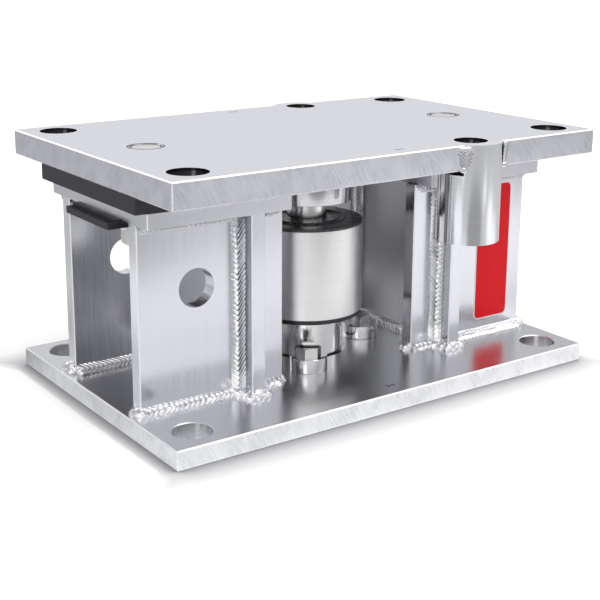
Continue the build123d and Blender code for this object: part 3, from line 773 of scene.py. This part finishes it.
def shade_floor():
    """White floor that keeps the module's shadow and adds a painted contact shadow. Metal sees it greyer far
    off and behind the cell.
    """
    material, tree, shader = start_finish("white_floor", metallic=0.0, roughness=0.9)
    shader.inputs["Specular IOR Level"].default_value = 0.0
    path = add(tree, "LightPath").outputs
    place = add(tree, "TexCoord").outputs["Object"]
    away = add(tree, "VectorMath", {0: place}, operation="LENGTH").outputs["Value"]
    folded = add(tree, "VectorMath", {0: place}, operation="ABSOLUTE").outputs["Vector"]
    parts = add(tree, "SeparateXYZ", {"Vector": folded}).outputs
    past_end = sums(tree, "SUBTRACT", parts["X"], plate_x)
    past_side = sums(tree, "SUBTRACT", parts["Y"], plate_y)
    gap = sums(tree, "MAXIMUM", past_end, past_side)

    # What glossy rays see
    level = spread(tree, gap, 1.0, plain_level, 0.04, 0.10)
    for x, y, squeeze, full, none, target in floor_spots:
        centre, oval = (x, y, 0.0), (squeeze, 1.0, 0.0)
        moved = add(tree, "VectorMath", {0: place, 1: centre}, operation="SUBTRACT").outputs["Vector"]
        squeezed = add(tree, "VectorMath", {0: moved, 1: oval}, operation="MULTIPLY").outputs["Vector"]
        near = add(tree, "VectorMath", {0: squeezed}, operation="LENGTH").outputs["Value"]
        share = spread(tree, near, 1.0, 0.0, full, none)
        kept = sums(tree, "MULTIPLY", level, sums(tree, "SUBTRACT", 1.0, share))
        level = sums(tree, "ADD", kept, sums(tree, "MULTIPLY", share, target))
    mirrored = sums(tree, "MAXIMUM", path["Is Glossy Ray"], path["Is Transmission Ray"])
    patchy = blend_colours(tree, level, (0.0, 0.0, 0.0), (0.98, 0.985, 0.995))

    # What all other rays see: a painted contact shadow, darker close under the base plate's edge, but not
    # beside its ends
    openness = add(tree, "AmbientOcclusion", {"Distance": 0.04}, samples=8).outputs["AO"]
    beside = spread(tree, sums(tree, "SUBTRACT", past_end, past_side), 0.0, 1.0, 0.0, 0.02)
    cleared = sums(tree, "MULTIPLY", beside, spread(tree, gap, 0.0, 1.0, 0.0, 0.012))
    openness = sums(tree, "MAXIMUM", openness, cleared)
    lit = spread(tree, openness, 0.0, 1.0, 0.5, 0.95)
    plain = blend_colours(tree, lit, (0.36, 0.36, 0.37), (0.8, 0.8, 0.8))
    tree.links.new(blend_colours(tree, mirrored, plain, patchy), shader.inputs["Base Color"])

    # The camera sees it lifted to white, less near the base plate to keep the painted contact shadow, and not
    # inside the base plate's holes, which paints shade there
    hole_place = (*mount_hole, floor_drop)
    to_hole = add(tree, "VectorMath", {0: folded, 1: hole_place}, operation="DISTANCE").outputs["Value"]
    outside_holes = spread(tree, to_hole, 0.0, 1.0, mount_radius + 0.0002, mount_radius + 0.0006)
    lift = sums(tree, "ADD", spread(tree, gap, 0.0, near_lift, 0.0, 0.035),
                spread(tree, away, 0.0, far_lift, 0.4, 2.2))
    lift = sums(tree, "ADD", lift, sums(tree, "MULTIPLY", beside, spread(tree, gap, 0.0, end_lift, 0.0, 0.012)))
    lift = sums(tree, "MULTIPLY", sums(tree, "MULTIPLY", lift, outside_holes),
                spread(tree, openness, 0.0, 1.0, 0.4, 1.0))
    seen = sums(tree, "MULTIPLY", path["Is Camera Ray"], lift)
    glow = add(tree, "Emission", {"Color": (1.0, 1.0, 1.0, 1.0), "Strength": seen})
    both = add(tree, "AddShader", {0: shader.outputs[0], 1: glow.outputs[0]})
    tree.links.new(both.outputs[0], tree.nodes["Material Output"].inputs["Surface"])
    return material


half_floor = 8.0
shape = bmesh.new()
bmesh.ops.create_grid(shape, x_segments=1, y_segments=1, size=half_floor)
floor_mesh = bpy.data.meshes.new("studio_floor")
shape.to_mesh(floor_mesh)
shape.free()
floor_mesh.transform(Matrix.Translation((0.0, 0.0, -floor_drop)))
floor_mesh.materials.append(shade_floor())
floor = bpy.data.objects.new("studio_floor", floor_mesh)
bpy.context.scene.collection.objects.link(floor)

world = bpy.data.worlds.new("studio")
bpy.context.scene.world = world
world.use_nodes = True
sky = world.node_tree
direction = add(sky, "TexCoord").outputs["Generated"]
height = add(sky, "SeparateXYZ", {"Vector": direction}).outputs["Z"]


def sky_share(x, y, start, full):
    """1 for directions near an azimuth and 0 away from it."""
    facing = add(sky, "VectorMath", {0: direction, 1: (x, y, 0.0)}, operation="DOT_PRODUCT").outputs["Value"]
    return spread(sky, facing, 0.0, 1.0, start, full)


# The sky behind at the right grows lighter from the horizon to a band and darker above it
grey_ramp = add(sky, "ValToRGB", {"Fac": spread(sky, height, 0.0, 1.0, -1.0, 1.0)})
ramp = grey_ramp.color_ramp
ramp.elements[0].position = 0.5
ramp.elements[0].color = (0.6, 0.6, 0.61, 1.0)
ramp.elements[1].position = 0.76
ramp.elements[1].color = (0.55, 0.55, 0.56, 1.0)
light_band = ramp.elements.new(0.63)
light_band.color = (0.86, 0.87, 0.89, 1.0)

# Elsewhere it is grey, with three white walls and a lighter front
back_right = sky_share(0.58, 0.81, 0.35, 0.85)
front_walls = sums(sky, "MAXIMUM", sky_share(-0.47, -0.88, 0.65, 0.92), sky_share(0.93, -0.37, 0.9, 0.99))
white_walls = sums(sky, "MAXIMUM", front_walls, sky_share(-1.0, 0.0, 0.75, 0.97))
front = sky_share(0.0, -1.0, 0.2, 0.7)
greys = blend_colours(sky, front, (0.50, 0.50, 0.51), (0.66, 0.66, 0.67))
around = blend_colours(sky, white_walls, greys, (1.0, 1.0, 1.0))
mirrored_sky = blend_colours(sky, back_right, around, grey_ramp.outputs["Color"])
camera_ray = add(sky, "LightPath").outputs["Is Camera Ray"]
sky_colour = blend_colours(sky, camera_ray, mirrored_sky, (1.0, 1.0, 1.0))
sky.links.new(sky_colour, sky.nodes["Background"].inputs["Color"])


def softbox(name, place, towards, size, power):
    """Area lamp at a place, facing a point."""
    lamp = bpy.data.lights.new(name, "AREA")
    lamp.shape = "RECTANGLE"
    lamp.size, lamp.size_y = size
    lamp.energy = power
    holder = bpy.data.objects.new(name, lamp)
    holder.location = place
    holder.rotation_euler = (Vector(towards) - Vector(place)).to_track_quat("-Z", "Y").to_euler()
    holder.visible_camera = False
    bpy.context.scene.collection.objects.link(holder)


softbox("overhead", (0.85, -0.4, 1.3), (0.0, 0.0, 0.15), (1.3, 1.2), 7.4)
softbox("back_left", (-0.45, 1.44, 1.1), (0.0, 0.0, 0.15), (1.0, 0.9), 4.4)
softbox("left_front", (-1.5, -0.9, 1.0), (0.0, 0.0, 0.1), (0.9, 0.9), 4.0)
softbox("high_front", (0.3, -0.6, 1.7), (0.2, -0.3, 0.0), (1.0, 0.8), 6.5)

# Camera fitted to the photograph: its focal length and the module's place in the picture, in pixels
picture_width, focal_length, picture_shift = 600.0, 1209.7, -70.0
sensor_width = 36.0
lens = bpy.data.cameras.new("photo_camera")
lens.sensor_width = sensor_width
lens.lens = focal_length * sensor_width / picture_width
lens.shift_y = picture_shift / picture_width
lens.clip_start = 0.01
camera = bpy.data.objects.new("photo_camera", lens)
camera.location = (-0.5740, -0.8001, 0.3583)
camera.rotation_euler = (math.radians(76.213), math.radians(-0.319), math.radians(-35.273))
bpy.context.scene.collection.objects.link(camera)
bpy.context.scene.camera = camera
bpy.context.scene.view_settings.view_transform = "Standard"
